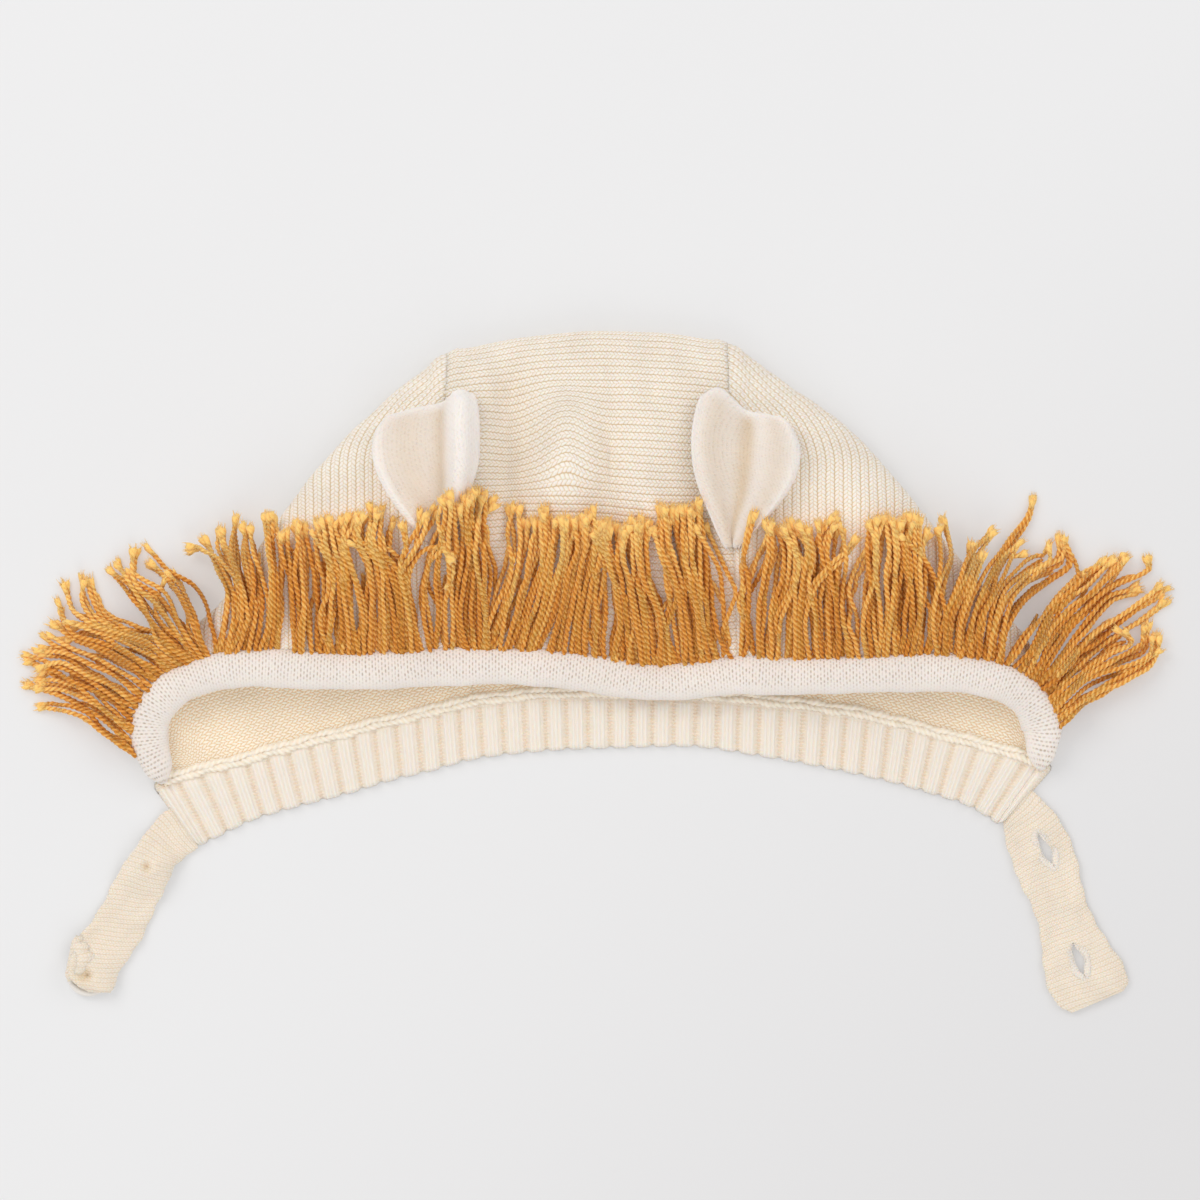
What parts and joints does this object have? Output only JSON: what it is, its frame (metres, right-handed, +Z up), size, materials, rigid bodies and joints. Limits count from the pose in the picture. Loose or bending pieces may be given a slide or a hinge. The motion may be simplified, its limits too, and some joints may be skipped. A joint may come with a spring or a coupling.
{
  "type": "baby hat with ears",
  "caption": "Knitted three-panel baby bonnet lying flat, with padded ears, a yarn fringe along a rolled face trim, a ribbed neckband and buttoned chin straps",
  "frame": {"origin": "middle of the hat's bounding box in plan, on the surface it lies on", "axes": "+X to the hat's right-hand strap as it lies, +Y from the face opening to the back fold of the crown, +Z up from the surface"},
  "size_m": [0.4092, 0.2414, 0.0373],
  "materials": {
    "cream_knit": "garter-stitch cotton knit, warm cream",
    "cream_rib": "ribbed and plain cotton knit, warm cream",
    "white_knit": "fine stockinette cotton knit, off-white",
    "mustard_yarn": "two-ply cotton yarn, mustard",
    "white_button": "plain round button, white, softly glossy"
  },
  "bodies": {
    "root": {"centre_panel": "cream_knit", "side_panel_left": "cream_knit", "side_panel_right": "cream_knit", "neckband": "cream_rib", "strap_left": "cream_rib", "strap_right": "cream_rib", "face_trim": "white_knit", "ear_left": "white_knit", "ear_right": "white_knit", "fringe": "mustard_yarn", "button_upper": "white_button", "button_lower": "white_button"}
  },
  "joints": []
}
